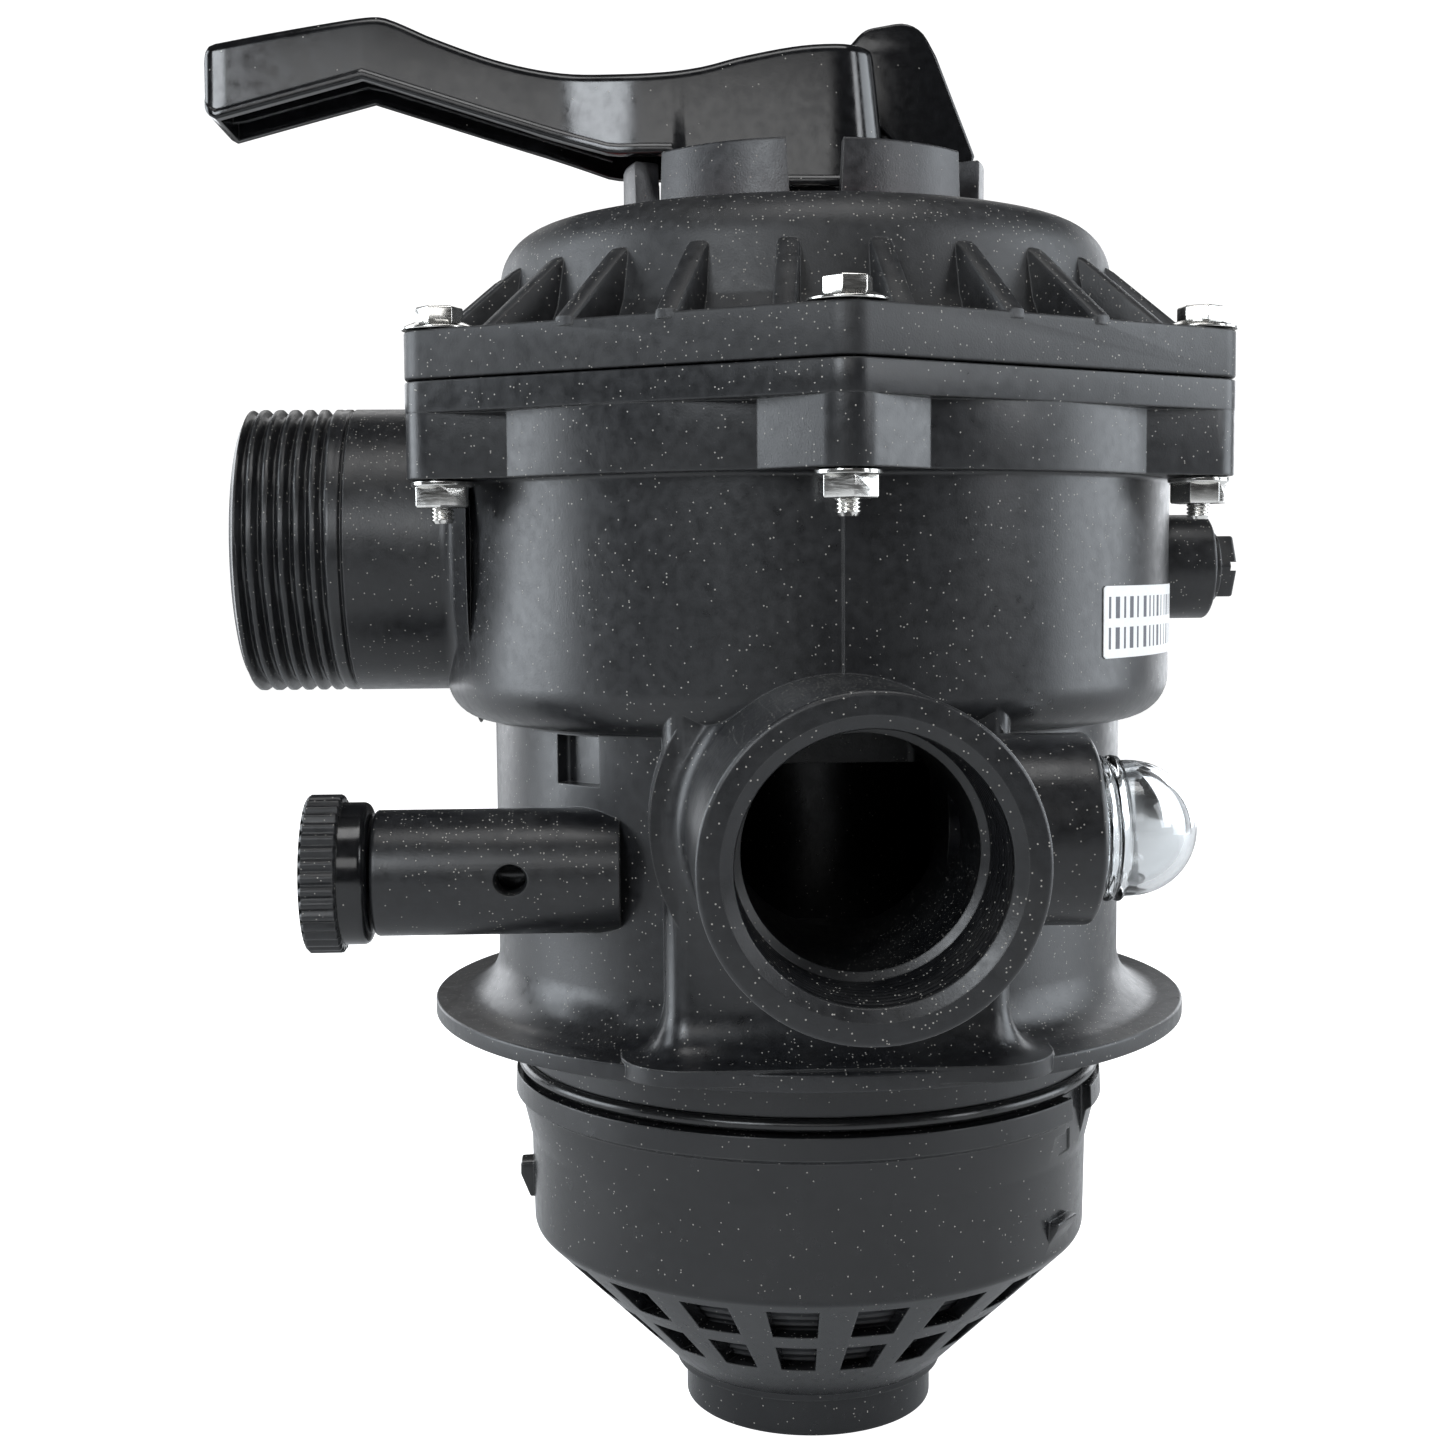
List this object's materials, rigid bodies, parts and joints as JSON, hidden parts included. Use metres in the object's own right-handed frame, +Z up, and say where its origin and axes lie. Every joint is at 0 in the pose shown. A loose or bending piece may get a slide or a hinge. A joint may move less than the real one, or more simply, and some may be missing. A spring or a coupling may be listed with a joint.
{
  "type": "multiport valve",
  "caption": "Top-mount sand filter valve with pump, waste and return ports, lever, index ring, sight glass, air relief knob and bottom strainer.",
  "frame": {"origin": "on the valve's axis, on the underside of the clamp disc that seats on the tank neck", "axes": "+Z up along the valve's axis, -Y towards the waste port, -X towards the pump port"},
  "size_m": [0.2351, 0.2668, 0.3207],
  "materials": {
    "moulded_black": "black glass-filled moulded plastic, satin with a fine grain",
    "gloss_black": "black moulded plastic, glossy",
    "strainer_black": "black moulded plastic, soft satin",
    "rubber_black": "smooth black rubber",
    "stainless": "bright stainless steel",
    "label_red": "red printed plate",
    "label_white": "white sticker with plain grey bars",
    "clear": "clear moulded plastic"
  },
  "bodies": {
    "valve": {"valve_body": "moulded_black", "valve_cover": "moulded_black", "position_label": "label_red", "spring_washer": "stainless", "rotor_spring": "stainless", "spider_gasket": "rubber_black", "cover_o_ring": "rubber_black", "neck_o_ring": "rubber_black", "handle_washer": "stainless", "sight_glass": "clear", "sight_glass_gasket": "rubber_black", "gauge_plug": "moulded_black", "gauge_plug_o_ring": "rubber_black", "serial_label": "label_white", "strainer_basket": "strainer_black", "strainer_screen": "strainer_black", "pipe_socket": "strainer_black", "bolt_1": "stainless", "nut_1": "stainless", "bolt_2": "stainless", "nut_2": "stainless", "bolt_3": "stainless", "nut_3": "stainless", "bolt_4": "stainless", "nut_4": "stainless", "bolt_5": "stainless", "nut_5": "stainless", "bolt_6": "stainless", "nut_6": "stainless"},
    "lifting_group": {"spring_seat": "stainless"},
    "rotor_group": {"rotor": "moulded_black", "stem_o_ring_upper": "rubber_black", "stem_o_ring_lower": "rubber_black"},
    "lever": {"handle": "gloss_black", "handle_pin": "stainless"},
    "relief_screw": {"relief_o_ring": "rubber_black"},
    "relief_grip": {"relief_knob": "moulded_black"}
  },
  "joints": [
    {"name": "rotor_lift", "type": "slide", "parent": "valve", "child": "lifting_group", "axis": [0, 0, 1], "range_m": [0, 0.0047], "stiffness_N_per_m": 6000, "springref_m": -0.004, "deforming": ["rotor_spring"]},
    {"name": "rotor_spin", "type": "hinge", "parent": "lifting_group", "child": "rotor_group", "pos_m": [0, 0, 0.15], "axis": [0, 0, 1], "continuous": true},
    {"name": "handle_tilt", "type": "hinge", "parent": "rotor_group", "child": "lever", "pos_m": [0, 0, 0.199], "axis": [0, -1, 0], "range_deg": [0, 6.2]},
    {"name": "relief_spin", "type": "hinge", "parent": "relief_screw", "child": "relief_grip", "pos_m": [-0.1, -0.051, 0.0393], "axis": [-1, 0, 0], "range_deg": [0, 725]},
    {"name": "relief_travel", "type": "slide", "parent": "valve", "child": "relief_screw", "axis": [-1, 0, 0], "range_m": [0, 0.004]}
  ],
  "couplings": [
    {"joint": "handle_tilt", "follows": "rotor_lift", "rad_per_m": 22.281},
    {"joint": "relief_spin", "follows": "relief_travel", "rad_per_m": 3141.6}
  ]
}
